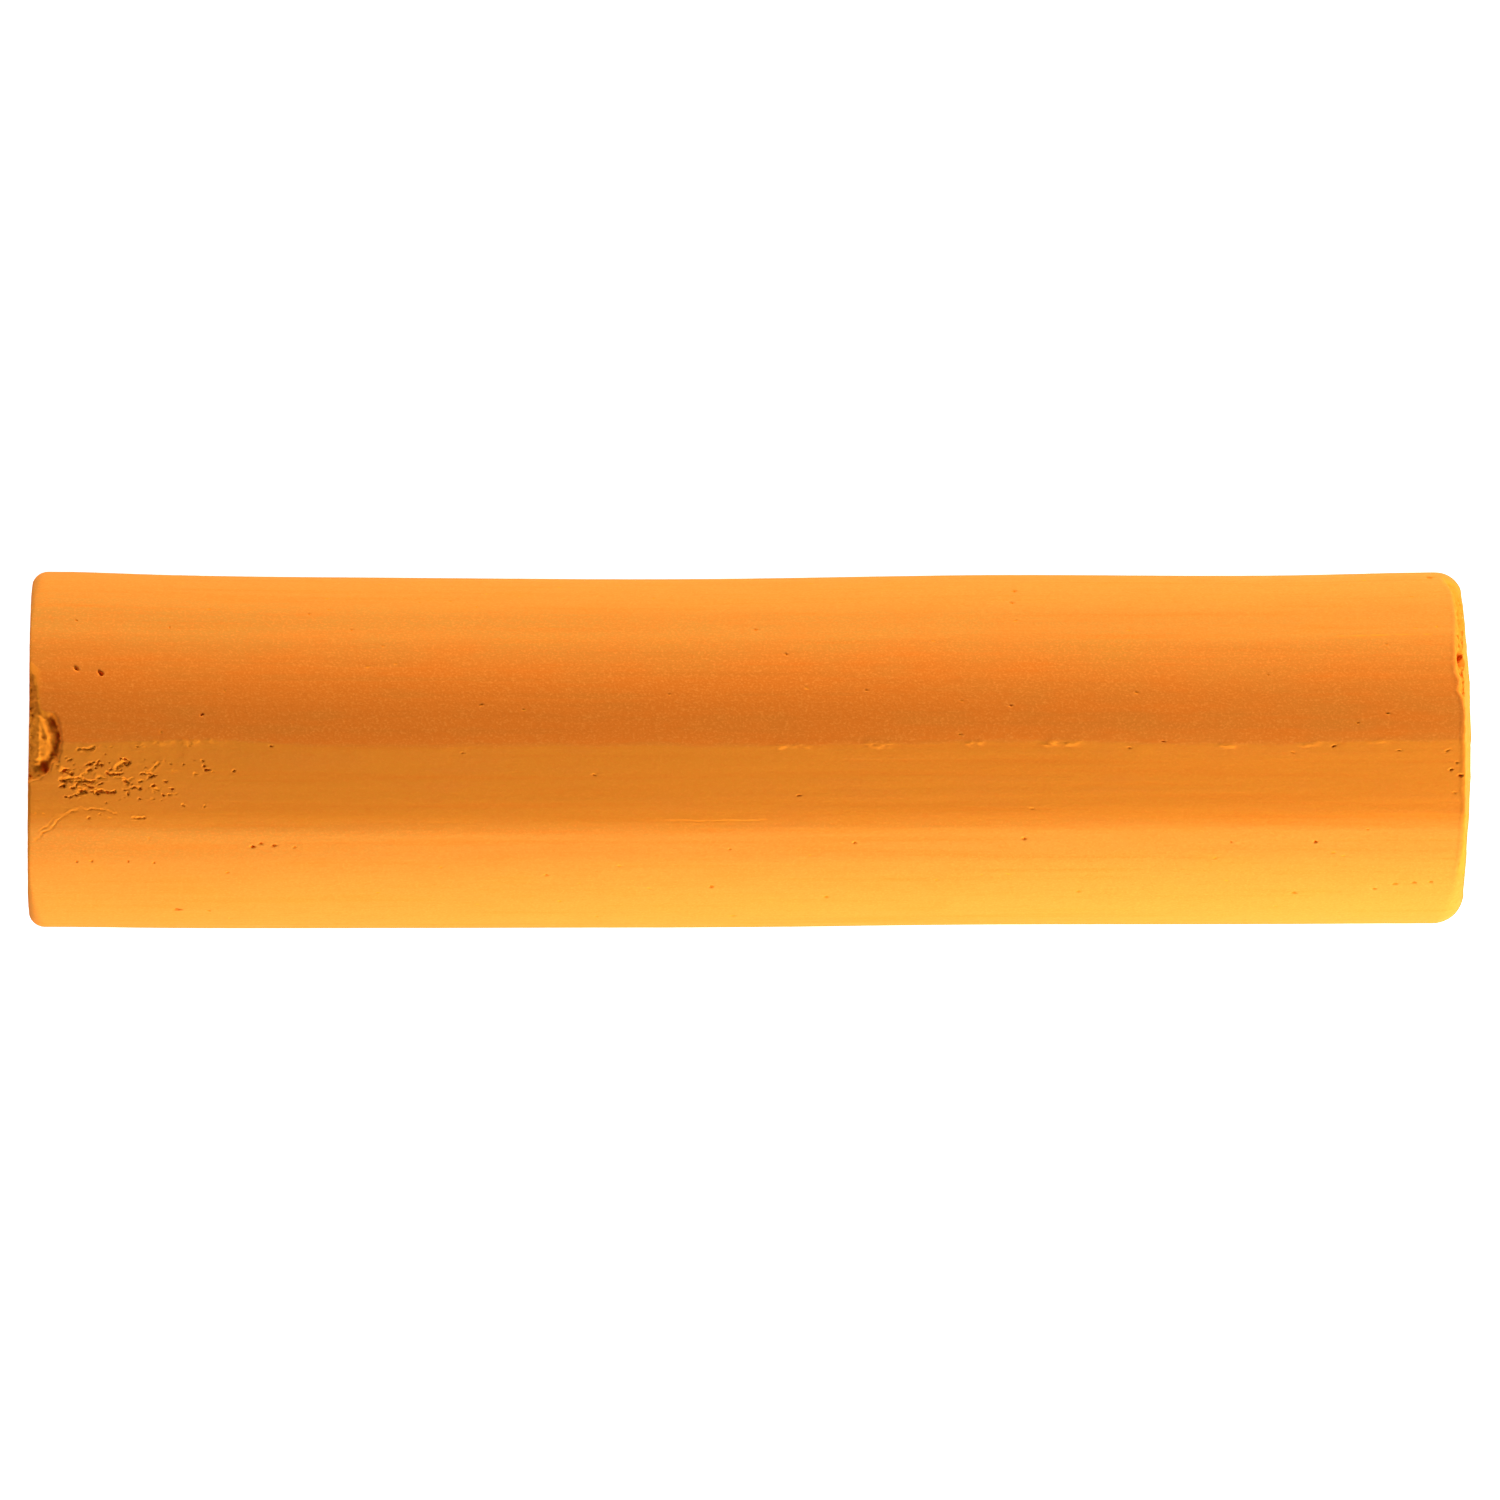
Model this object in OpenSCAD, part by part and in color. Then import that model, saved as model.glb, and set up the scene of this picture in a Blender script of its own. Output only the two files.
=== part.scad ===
// A round stick of soft pastel, lying on its side along X.
// It was pressed while soft, so it is a little thinner in the middle than at its ends, a flat strip
// runs along its top and a narrower flat lies underneath. The end at -X has crumbled where the strip
// meets it, and the strip is torn near there. The end at +X is sound, with a small hole in its edge.

/* [Stick] */
// Diameter at the ends
stick_d = 15; // [12:0.5:20]
// Length over both ends
stick_l = 61.5; // [50:0.5:80]
// How much the radius shrinks towards the middle
waist = 0.1; // [0.02:0.01:0.2]

/* [Ends] */
// Radius of the rounded edge at the crumbled end
crumbled_edge_r = 0.7; // [0.4:0.1:1.5]
// Radius of the rounded edge at the sound end
sound_edge_r = 1.2; // [0.6:0.1:2]
// How far the sound end bulges past its rounded edge
sound_dome_h = 0.3; // [0.1:0.05:0.8]

/* [Flats] */
// Width of the flat strip along the top
strip_w = 3.6; // [2.4:0.1:6]
// Lean of the strip from straight up, towards -Y
strip_lean = 11.3; // [0:0.1:25]
// Width of the flat underneath, at the middle of the stick
rest_w = 2.6; // [1.5:0.1:5]

/* [Crumbled end] */
// Length of the hollow that has crumbled out of the end
hollow_l = 1.5; // [0.8:0.1:2.5]
// Width of the hollow across the stick
hollow_w = 2.4; // [1.2:0.1:4]
// Depth of the hollow below the skin
hollow_depth = 0.9; // [0.4:0.1:1.8]
// Lean of the hollow from straight up, towards -Y
hollow_lean = -4; // [-15:1:10]

/* [Torn strip] */
// Depth of the tears in the strip
tear_depth = 0.15; // [0.05:0.01:0.4]
// Width of the crack that curves across the strip to the crumbled end
crack_w = 0.14; // [0.06:0.01:0.3]
// Depth of the crack
crack_depth = 0.1; // [0.05:0.01:0.3]

/* [Air pits] */
// Diameter of the largest air pits in the skin
pit_d = 0.36; // [0.2:0.02:0.8]
// Length of the hole in the edge of the sound end, round the stick
edge_hole_l = 0.7; // [0.3:0.05:1.2]
// Width of that hole
edge_hole_w = 0.4; // [0.2:0.05:0.8]

/* [Hidden] */

// Fineness of the round stick and of its air pits
$fn = 96;
PIT_FN = 20;

// Reach of a cutter past the skin
OVER = 1;

// Steps along each rounded edge and dome, along the side, and along the strip
EDGE_STEPS = 8;
SIDE_STEPS = 12;
STRIP_STEPS = 7;

// Places in these lists are distances in millimetres from the crumbled end, and leans in degrees from
// straight up towards -Y. Places across the strip count from its middle line towards +Y.

// Lumps of the hollow, as shares of its length, width and depth: place along, place across, length,
// width, depth
HOLLOW_LUMPS = [
    [0.62, 0.00, 0.80, 0.95, 1.00],
    [0.05, 0.55, 0.55, 1.25, 0.95],
    [0.05, -0.10, 0.75, 1.10, 0.75],
    [0.35, -0.52, 0.50, 0.50, 0.70],
    [0.95, -0.50, 0.30, 0.20, 0.25],
];

// Tears in the strip: place, across, length, width, turn
TEARS = [
    [2.5, 1.45, 0.95, 0.22, 6],
    [4.2, 0.85, 0.75, 0.32, 35],
    [5.7, 0.65, 0.50, 0.22, 40],
    [2.7, 0.10, 1.20, 0.45, -8],
    [2.3, -0.45, 0.50, 0.45, 70],
    [3.0, -0.45, 0.60, 0.25, 0],
    [4.1, 0.10, 1.00, 0.24, -8],
    [5.3, -0.35, 0.60, 0.20, -18],
    [6.1, -0.50, 0.60, 0.18, 4],
    [4.8, -1.45, 0.60, 0.20, 8],
];

// Turns of the crack across the strip: place, across
CRACK_TURNS = [
    [0.3, -2.2],
    [0.9, -1.75],
    [1.6, -1.35],
    [2.4, -1.15],
    [3.2, -1.1],
    [3.8, -1.3],
];

// Air pits in the skin: place, lean, share of the largest diameter
PITS = [
    [2.1, -27, 0.9],
    [3.1, -26, 1.0],
    [7.5, -12, 0.5],
    [12.0, -52, 0.5],
    [13.8, -44, 0.5],
    [31.0, -45, 0.5],
    [32.3, -34, 0.6],
    [41.9, -57, 0.6],
    [42.1, -66, 0.7],
    [57.8, -36, 0.5],
    [59.4, -74, 0.7],
    [6.4, 63, 0.7],
    [29.1, 50, 0.7],
    [30.0, 69, 0.6],
    [34.0, 56, 0.6],
    [35.2, 31, 0.5],
    [42.4, 30, 0.5],
    [44.7, 54, 0.6],
    [53.9, 55, 0.7],
    [54.8, 32, 0.6],
];

// A row of small pits near the sound end
ROW_PITS = 5;
ROW_GAP = 0.72;
ROW_FROM_SOUND_END = 1.6;
ROW_LEAN = 51;
ROW_SHARE = 0.55;

// Holes in the rounded edge of the sound end: lean, turn round the edge from the side to the end,
// share of the hole's size
EDGE_HOLES = [
    [-31, 62, 1.0],
    [6, 50, 0.45],
    [11, 60, 0.4],
    [16, 45, 0.5],
    [38, 70, 0.4],
];

end_r = stick_d / 2;
half_l = stick_l / 2;
axis_z = sqrt(pow(end_r - waist, 2) - pow(rest_w / 2, 2));
strip_sag = end_r - sqrt(pow(end_r, 2) - pow(strip_w / 2, 2));

// Radius of the stick at a distance x from its middle
function skin_r(x) = end_r - waist * (1 - pow(x / half_l, 2));

// Centre of the rounded edge of the sound end
sound_edge_x = half_l - sound_dome_h - sound_edge_r;
sound_edge_h = skin_r(sound_edge_x) - sound_edge_r;

// The outline runs from the middle of the crumbled end, over the side, to the middle of the sound
// end, as points [distance along X, height above the axis]
function crumbled_edge() =
    let(centre_x = -half_l + crumbled_edge_r)
    let(centre_h = skin_r(centre_x) - crumbled_edge_r)
    [
        for (i = [0:EDGE_STEPS])
            let(a = 90 * i / EDGE_STEPS)
            [centre_x - crumbled_edge_r * cos(a), centre_h + crumbled_edge_r * sin(a)]
    ];

function side_line() =
    let(first = -half_l + crumbled_edge_r)
    [
        for (i = [1:SIDE_STEPS - 1])
            let(x = first + (sound_edge_x - first) * i / SIDE_STEPS)
            [x, skin_r(x)]
    ];

function sound_edge() = [
    for (i = [0:EDGE_STEPS])
        let(a = 90 * i / EDGE_STEPS)
        [sound_edge_x + sound_edge_r * sin(a), sound_edge_h + sound_edge_r * cos(a)]
];

function sound_dome() =
    let(arc_r = (pow(sound_edge_h, 2) + pow(sound_dome_h, 2)) / (2 * sound_dome_h))
    let(arc_a = asin(sound_edge_h / arc_r))
    [
        for (i = [1:EDGE_STEPS])
            let(a = arc_a * (1 - i / EDGE_STEPS))
            [half_l - arc_r * (1 - cos(a)), arc_r * sin(a)]
    ];

function outline() = concat([[-half_l, 0]], crumbled_edge(), side_line(), sound_edge(), sound_dome());

// Corners of a closed lump with a broken skin: rings of points round Z between two poles, each point
// pushed in or out by its own share
function lump_points(size, rings, sides, uneven, seed) =
    let(push = rands(1 - uneven, 1 + uneven, rings * sides, seed))
    concat(
        [[0, 0, size.z / 2]],
        [
            for (i = [1:rings], j = [0:sides - 1])
                let(polar = 180 * i / (rings + 1))
                let(turn = 360 * (j + i / 2) / sides)
                let(reach = push[(i - 1) * sides + j] / 2)
                [
                    size.x * reach * sin(polar) * cos(turn),
                    size.y * reach * sin(polar) * sin(turn),
                    size.z * reach * cos(polar)
                ]
        ],
        [[0, 0, -size.z / 2]]
    );

function lump_faces(rings, sides) =
    let(last = rings * sides + 1)
    concat(
        [for (j = [0:sides - 1]) [0, 1 + (j + 1) % sides, 1 + j]],
        [
            for (i = [0:rings - 2], j = [0:sides - 1], half = [0, 1])
                let(a = 1 + i * sides + j)
                let(b = 1 + i * sides + (j + 1) % sides)
                half == 0 ? [a, b, a + sides] : [b, b + sides, a + sides]
        ],
        [for (j = [0:sides - 1]) [last, last - sides + j, last - sides + (j + 1) % sides]]
    );

module lump(size, seed, uneven = 0.2, rings = 5, sides = 9) {
    polyhedron(lump_points(size, rings, sides, uneven, seed), lump_faces(rings, sides));
}

// Sets its children on the skin
module on_skin(from_end, lean) {
    translate([from_end - half_l, 0, axis_z])
        rotate([lean, 0, 0])
            translate([0, 0, skin_r(from_end - half_l)])
                children();
}

// Sets its children on the flat strip
module on_strip(from_end, across) {
    on_skin(from_end, strip_lean)
        translate([0, across, -strip_sag])
            children();
}

// Sets its children on the rounded edge of the sound end
module on_sound_edge(lean, round_edge) {
    translate([sound_edge_x, 0, axis_z])
        rotate([lean, 0, 0])
            translate([0, 0, sound_edge_h])
                rotate([0, round_edge, 0])
                    translate([0, 0, sound_edge_r])
                        children();
}

module round_stick() {
    translate([0, 0, axis_z])
        rotate([0, 90, 0])
            rotate_extrude()
                polygon([for (p = outline()) [p.y, p.x]]);
}

// Follows the waist, so that the strip keeps its width
module strip_cutter() {
    reach = half_l + OVER;
    floor_line = [
        for (i = [0:STRIP_STEPS])
            let(x = reach * (2 * i / STRIP_STEPS - 1))
            [x, skin_r(x) - strip_sag]
    ];
    translate([0, 0, axis_z])
        rotate([strip_lean + 90, 0, 0])
            linear_extrude(height = stick_d, center = true)
                polygon(concat(floor_line, [[reach, stick_d], [-reach, stick_d]]));
}

// Leaves the flat underneath at z = 0
module rest_cutter() {
    translate([-half_l - OVER, -end_r, -end_r])
        cube([stick_l + 2 * OVER, stick_d, end_r]);
}

module hollow() {
    across_deg = hollow_w / end_r * 180 / PI;
    for (i = [0:len(HOLLOW_LUMPS) - 1]) {
        part = HOLLOW_LUMPS[i];
        on_skin(part[0] * hollow_l, hollow_lean - part[1] * across_deg)
            lump([part[2] * hollow_l, part[3] * hollow_w, 2 * part[4] * hollow_depth], i + 1, 0.15, 7, 12);
    }
}

module tears() {
    for (i = [0:len(TEARS) - 1]) {
        tear = TEARS[i];
        on_strip(tear[0], tear[1])
            rotate([0, 0, tear[4]])
                lump([tear[2], tear[3], 2 * tear_depth], i + 20, 0.3);
    }
}

module crack() {
    for (i = [0:len(CRACK_TURNS) - 2]) {
        from = CRACK_TURNS[i];
        to = CRACK_TURNS[i + 1];
        middle = (from + to) / 2;
        on_strip(middle.x, middle.y)
            rotate([0, 0, atan2(to.y - from.y, to.x - from.x)])
                lump([norm(to - from) * 1.25, crack_w, 2 * crack_depth], i + 40, 0.15, 3, 8);
    }
}

module pit(share) {
    sphere(d = pit_d * share, $fn = PIT_FN);
}

module pits() {
    for (spot = PITS)
        on_skin(spot[0], spot[1])
            pit(spot[2]);
    for (i = [0:ROW_PITS - 1])
        on_skin(stick_l - ROW_FROM_SOUND_END - i * ROW_GAP, ROW_LEAN)
            pit(ROW_SHARE);
}

module edge_holes() {
    for (i = [0:len(EDGE_HOLES) - 1]) {
        hole = EDGE_HOLES[i];
        on_sound_edge(hole[0], hole[1])
            lump([edge_hole_w, edge_hole_l, edge_hole_l] * hole[2], i + 60);
    }
}

module pastel_stick() {
    color("#f08a26")
        difference() {
            round_stick();
            strip_cutter();
            rest_cutter();
            hollow();
            tears();
            crack();
            pits();
            edge_holes();
        }
}

pastel_stick();
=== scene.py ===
"""Look of a soft pastel stick: its modelled skin, its powdery finish and a plain studio."""

import logging
import math
from dataclasses import dataclass, field
from enum import Enum
from typing import Any, Mapping, Protocol, Sequence

import bmesh
import bpy
import numpy as np
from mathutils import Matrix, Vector, noise


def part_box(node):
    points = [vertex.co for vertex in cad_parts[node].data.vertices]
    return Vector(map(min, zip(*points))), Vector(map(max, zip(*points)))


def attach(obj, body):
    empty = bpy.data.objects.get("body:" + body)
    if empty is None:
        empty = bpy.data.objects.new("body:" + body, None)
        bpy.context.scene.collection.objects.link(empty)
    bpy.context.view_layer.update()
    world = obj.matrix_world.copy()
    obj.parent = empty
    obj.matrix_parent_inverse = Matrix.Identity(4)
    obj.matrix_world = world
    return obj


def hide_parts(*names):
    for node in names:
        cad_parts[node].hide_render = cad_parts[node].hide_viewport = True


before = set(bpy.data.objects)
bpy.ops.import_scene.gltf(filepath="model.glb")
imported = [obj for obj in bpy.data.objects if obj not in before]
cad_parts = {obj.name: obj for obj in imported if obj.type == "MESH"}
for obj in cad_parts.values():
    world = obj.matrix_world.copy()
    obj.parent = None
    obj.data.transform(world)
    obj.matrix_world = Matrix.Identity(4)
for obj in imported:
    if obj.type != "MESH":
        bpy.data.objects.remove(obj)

LOG = logging.getLogger("pastel")
NODE = "pastel_stick"
BREAK_AND_SHADE = "break_and_shade"
SHADED_BAND = "shaded_band"
PRESSED = "pressed"
MM = 0.001
FULL_TURN = 360.0
SEED = 20
FAR = 9.0  # further, in millimetres, than any mark reaches from its outline
DOUBLES = 0.0005  # points that are closer than this, in millimetres, become one
ON_SIDE = 0.2  # how far outwards the skin has to face where a mark of the side shapes it


# ---------------------------------------------------------------- small helpers


def noise_at(
    points: np.ndarray, lump: float | Sequence[float], seed: int, octaves: int = 1
) -> np.ndarray:
    """Smooth noise, mostly between -1 and 1.

    Args:
        points: One row of x, y and z for each point, in millimetres.
        lump: Size of the noise's lumps in millimetres, or their size along each of x, y and z.
        seed: Picks one pattern of noise out of many.
        octaves: How many layers there are, each half as large and half as strong as the last.

    Returns:
        One value for each point.
    """
    shift = Vector((17.3, 5.1, -9.7)) * seed
    spots = points / np.asarray(lump)
    return np.array([noise.fractal(Vector(spot) + shift, 1.0, 2.0, octaves) for spot in spots])


def smooth_step(
    value: np.ndarray, start: float | np.ndarray, end: float | np.ndarray
) -> np.ndarray:
    """Rises from 0 at start to 1 at end, with soft ends.

    Args:
        value: The numbers to map.
        start: Where the rise starts.
        end: Where it ends, which may be below start.

    Returns:
        One value from 0 to 1 for each number.
    """
    t = np.clip((value - start) / (end - start), 0.0, 1.0)
    return t * t * (3.0 - 2.0 * t)


def soft_least(first: np.ndarray, second: np.ndarray, blend: float) -> np.ndarray:
    """The lower of two heights, rounded off where they cross.

    Args:
        first: One height.
        second: The other height.
        blend: How far apart the two are where the rounding starts.

    Returns:
        The lower height, less a little near the crossing.
    """
    share = np.clip(0.5 + 0.5 * (second - first) / blend, 0.0, 1.0)
    return second + (first - second) * share - blend * share * (1.0 - share)


def curve_through(points: Sequence[tuple[float, float]], at: np.ndarray) -> np.ndarray:
    """A smooth curve through a few points, level beyond its ends.

    Args:
        points: Each point's place and the curve's value there, in rising order.
        at: Where the curve is wanted.

    Returns:
        The curve's value at each place asked for.
    """
    knots, heights = np.array(points, float).T
    slopes = np.gradient(heights, knots)
    slopes[[0, -1]] = 0.0
    where = np.clip(at, knots[0], knots[-1])
    i = np.clip(np.searchsorted(knots, where) - 1, 0, len(knots) - 2)
    gap = knots[i + 1] - knots[i]
    t = (where - knots[i]) / gap
    rise = heights[i + 1] - heights[i]
    start, end = slopes[i] * gap, slopes[i + 1] * gap
    return heights[i] + t * start + t * t * (3 * rise - 2 * start - end) + t**3 * (start + end - 2 * rise)


# ---------------------------------------------------------------- the stick's form


@dataclass(frozen=True)
class Stretch:
    """A run of the skin that is cut into even steps.

    Attributes:
        length: Its length, in millimetres or degrees.
        steps: How many steps it has.
    """

    length: float
    steps: int


@dataclass(frozen=True)
class Facet:
    """A flattened strip that runs along the stick.

    Attributes:
        lean: Which way it faces, in degrees from straight up towards -Y.
        width: Its width in millimetres.
        crown: How far its middle bulges.
        upper_blend: How soft its edge towards +Y is, in millimetres.
        lower_blend: How soft its edge towards -Y is.
    """

    lean: float
    width: float
    crown: float
    upper_blend: float
    lower_blend: float

    def cut(self, height: np.ndarray, radius: np.ndarray, lean: np.ndarray) -> np.ndarray:
        """Lowers the skin to the facet where it stands proud of it.

        Args:
            height: The skin's height above the stick's axis.
            radius: The round stick's radius there.
            lean: Each point's lean in degrees.

        Returns:
            The new height.
        """
        turn = np.radians((lean - self.lean + 180.0) % FULL_TURN - 180.0)
        near = np.abs(turn) < math.radians(50)
        turn = np.where(near, turn, 0.0)
        level = np.sqrt(radius**2 - (self.width / 2) ** 2)
        across = level * np.tan(turn)
        bulge = self.crown * (1.0 - (2.0 * across / self.width) ** 2)
        face = level / np.cos(turn) + bulge
        blend = np.where(turn < 0.0, self.upper_blend, self.lower_blend)
        return np.where(near, soft_least(height, face, blend), height)


@dataclass
class StickForm:
    """The stick's sizes in millimetres, and where each place on its skin is.

    A place on the skin is its path, the distance over the skin from the middle of the crumbled end,
    and its lean, in degrees from straight up towards -Y.

    Attributes:
        half_length: Half the stick's length.
        end_radius: Its radius at the ends.
        crumbled_edge: Radius of the crumbled end's edge, where it is soft.
        sound_edge: How much of the path the sound end's edge is given.
        sound_dome: How far the sound end bulges.
        end_skew: How far the crumbled end slants, as a slope.
        strip: The flat strip along the top.
        facets: The soft ridges on the flanks.
        swells: Places along the stick and how much thicker it is there.
        bows: Places along the stick and how far its axis is towards +Y there.
        wanders: Places along the stick and how many degrees the crease has slid there.
        rag: How ragged the crease is, in degrees.
        rim_spots: Leans, and how long and how round the sound end's edge is there.
    """

    half_length: float
    end_radius: float
    crumbled_edge: float = 0.7
    sound_edge: float = 1.2
    sound_dome: float = 0.34
    end_skew: float = 0.01
    strip: Facet = Facet(9.8, 3.2, 0.02, 0.004, 0.16)
    facets: tuple[Facet, ...] = (Facet(-46.0, 1.7, 0.0, 0.03, 0.012), Facet(32.0, 1.2, 0.0, 0.02, 0.03))
    swells: tuple[tuple[float, float], ...] = (
        (0.0, 0.09), (1.0, 0.09), (5.6, 0.046), (16.0, -0.014), (29.0, -0.059),
        (41.0, -0.038), (54.0, -0.048), (59.7, 0.006), (61.5, 0.01),
    )
    bows: tuple[tuple[float, float], ...] = (
        (0.0, 0.02), (1.0, 0.02), (5.6, -0.06), (16.0, -0.13), (29.0, -0.13),
        (41.0, 0.0), (54.0, 0.02), (59.7, 0.1), (61.5, 0.1),
    )
    wanders: tuple[tuple[float, float], ...] = (
        (0.0, 0.0), (2.4, 0.0), (7.8, -1.4), (12.0, 0.0), (24.0, -0.3),
        (31.0, 0.3), (44.0, -0.3), (50.0, 0.65), (58.5, 0.0), (61.5, 0.0),
    )
    rag: float = 0.5
    rim_spots: tuple[tuple[float, float, float], ...] = (
        (-180, 1.1, 1), (-95, 1.35, 1), (-75, 1.05, 1), (-62, 0.6, 0.6), (-50, 0.45, 0.2),
        (-31, 0.45, 0.2), (-25, 0.42, 0.2), (-22.5, 0.27, 0.25), (-19, 0.35, 0.25), (-16, 0.13, 0.5),
        (-10, 0.06, 1), (20, 0.05, 1), (32, 0.12, 1), (45, 0.35, 1), (60, 0.8, 1), (85, 1.35, 1),
        (180, 1.1, 1),
    )

    @property
    def crease_lean(self) -> float:
        """Lean of the crisp edge of the strip."""
        return self.strip.lean - math.degrees(math.asin(self.strip.width / 2 / self.end_radius))

    def radius(self, x: np.ndarray) -> np.ndarray:
        """Radius of the round stick at a distance x from its middle."""
        return self.end_radius + curve_through(self.swells, x + self.half_length)

    def bow(self, x: np.ndarray) -> np.ndarray:
        """How far the stick's axis has bent towards +Y."""
        return curve_through(self.bows, x + self.half_length)

    def wander(self, x: np.ndarray, lean: np.ndarray) -> np.ndarray:
        """Slides the skin round the stick near the crease, which makes the crease wander.

        Args:
            x: Distance along the stick from its middle.
            lean: Lean in degrees.

        Returns:
            How many degrees each point slides.
        """
        slide = curve_through(self.wanders, x + self.half_length)
        spots = np.stack([x, np.zeros_like(x), np.zeros_like(x)], axis=1)
        slide = slide + self.rag * noise_at(spots, (0.9, 1.0, 1.0), seed=53, octaves=3)
        return slide * smooth_step(np.abs(lean - self.crease_lean), 12.0, 2.0)

    def end_edge(self, lean: np.ndarray) -> np.ndarray:
        """Radius of the crumbled end's edge, which is crisp on top and soft on the flanks."""
        return self.crumbled_edge * (0.2 + 0.8 * smooth_step(np.abs(lean), 40.0, 80.0))

    def rim(self, lean: np.ndarray) -> tuple[np.ndarray, np.ndarray]:
        """Measures the sound end's worn edge.

        Args:
            lean: Lean in degrees.

        Returns:
            How far back from the domed face it starts, and how round it is, from 0 to 1.
        """
        leans, lengths, roundness = zip(*self.rim_spots)
        return np.interp(lean, leans, lengths), np.interp(lean, leans, roundness)

    def height(self, x: np.ndarray, lean: np.ndarray) -> np.ndarray:
        """Height of the side's skin above the axis, with its facets.

        Args:
            x: Distance along the stick from its middle.
            lean: Lean in degrees.

        Returns:
            The height in millimetres.
        """
        radius = self.radius(x)
        height = radius.copy()
        for facet in (*self.facets, self.strip):
            height = facet.cut(height, radius, lean)
        return height


@dataclass
class Skin:
    """Every point of the skin, as it is pressed, torn and pitted.

    Attributes:
        form: The stick's form.
        path: Distance over the skin from the middle of the crumbled end.
        lean: Lean in degrees.
        x: Distance along the stick from its middle.
        height: Height above the stick's axis.
        out_x: How far along the stick the skin faces, below zero at the crumbled end.
        out_up: How far away from the axis it faces.
        depth: How far each point is pushed in.
        break_and_shade: How far the skin is broken there, from 0 to 0.5, and from 0.5 on to 1 how much
            painted shade a deep hole gets.
    """

    form: StickForm
    path: np.ndarray
    lean: np.ndarray
    x: np.ndarray = field(init=False)
    height: np.ndarray = field(init=False)
    out_x: np.ndarray = field(init=False)
    out_up: np.ndarray = field(init=False)
    depth: np.ndarray = field(init=False)
    break_and_shade: np.ndarray = field(init=False)

    def __post_init__(self) -> None:
        """Works out where the sound skin is and which way it faces."""
        form = self.form
        half = form.half_length
        self.depth = np.zeros_like(self.path)
        self.break_and_shade = np.zeros_like(self.path)
        runs = Layout(form).path_ends
        self.path = np.clip(self.path, 0.0, runs[-1])
        cap, edge, side, rim, dome = (
            (self.path >= low) & (self.path <= high) for low, high in zip((0.0, *runs), runs)
        )
        end_edge = form.end_edge(self.lean)
        rim_length, roundness = form.rim(self.lean)
        end_reach, rim_reach = 2.0, 2.4
        near_end = 1.0 - np.clip((self.path - runs[1]) / end_reach, 0.0, 1.0)
        near_rim = 1.0 - np.clip((runs[2] - self.path) / rim_reach, 0.0, 1.0)
        x = self.path - runs[1] + form.crumbled_edge - half
        x += (end_edge - form.crumbled_edge) * near_end + (form.sound_edge - rim_length) * near_rim
        x = np.clip(x, end_edge - half, half - form.sound_dome - rim_length)
        side_height = form.height(x, self.lean)
        turn = np.radians(90.0) * np.clip((self.path - runs[0]) / (runs[1] - runs[0]), 0.0, 1.0)
        worn = np.clip((self.path - runs[2]) / (runs[3] - runs[2]), 0.0, 1.0)
        worn_turn = np.radians(90.0) * worn
        drop = rim_length * (worn + (1.0 - np.cos(worn_turn) - worn) * roundness)
        inset = rim_length * (1.0 - worn - (np.sin(worn_turn) - worn) * roundness)
        cap_share = np.clip(self.path / runs[0], 0.0, 1.0)
        dome_share = np.clip((runs[4] - self.path) / (runs[4] - runs[3]), 0.0, 1.0)
        places = [cap, edge, side, rim, dome]
        self.x = np.select(
            places,
            [
                np.full_like(x, -half),
                -half + end_edge * (1.0 - np.cos(turn)),
                x,
                half - form.sound_dome - inset,
                half - form.sound_dome * dome_share**2,
            ],
        )
        self.height = np.select(
            places,
            [
                (side_height - end_edge) * cap_share,
                side_height - end_edge * (1.0 - np.sin(turn)),
                side_height,
                side_height - drop,
                (side_height - rim_length) * dome_share,
            ],
        )
        zero, one = np.zeros_like(x), np.ones_like(x)
        slope = math.sqrt(0.5) * (1.0 - roundness)
        rim_x, rim_up = slope + roundness * np.sin(worn_turn), slope + roundness * np.cos(worn_turn)
        self.out_x = np.select(places, [-one, -np.cos(turn), zero, rim_x, one])
        self.out_up = np.select(places, [zero, np.sin(turn), one, rim_up, zero])

    @property
    def from_end(self) -> np.ndarray:
        """Distance along the stick from the crumbled end."""
        return self.x + self.form.half_length

    def across(self, lean: float) -> np.ndarray:
        """Distance round the stick from a line at a lean, towards +Y."""
        return np.radians(lean - self.lean) * self.form.end_radius

    def beyond_crease(self) -> np.ndarray:
        """Where the skin lies past the crease towards -Y, from 0 to 1."""
        crease, half_blur = self.form.crease_lean, 0.6
        return smooth_step(self.lean, crease - half_blur, crease + half_blur)

    def on_side(self) -> np.ndarray:
        """Where the skin belongs to the side and not to an end, from 0 to 1."""
        return smooth_step(self.out_up, 0.3, 0.9)

    def shaded_band(self) -> np.ndarray:
        """Measures where the dimly lit band on the +Y side of the crease gets its painted shade.

        Returns:
            One value from 0 to 1 for each point.
        """
        start, full, kept = -48.0, -20.0, 0.75
        # The painted shade fades towards the sound end, where more light falls.
        fading = 1.0 - (1.0 - kept) * smooth_step(self.from_end, 30.0, 58.0)
        return smooth_step(self.lean, start, full) * (1.0 - self.beyond_crease()) * fading * self.on_side()

    def pressed(self) -> np.ndarray:
        """Where the skin belongs to the pressed strip, from 0 to 1."""
        last, full = 29.0, 21.0
        return self.beyond_crease() * smooth_step(self.lean, last, full) * self.on_side()

    def places(self) -> np.ndarray:
        """One row of x, y and z for each point of the sound skin."""
        turn = np.radians(self.lean)
        return np.stack([self.x, -self.height * np.sin(turn), self.height * np.cos(turn)], axis=1)

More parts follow.
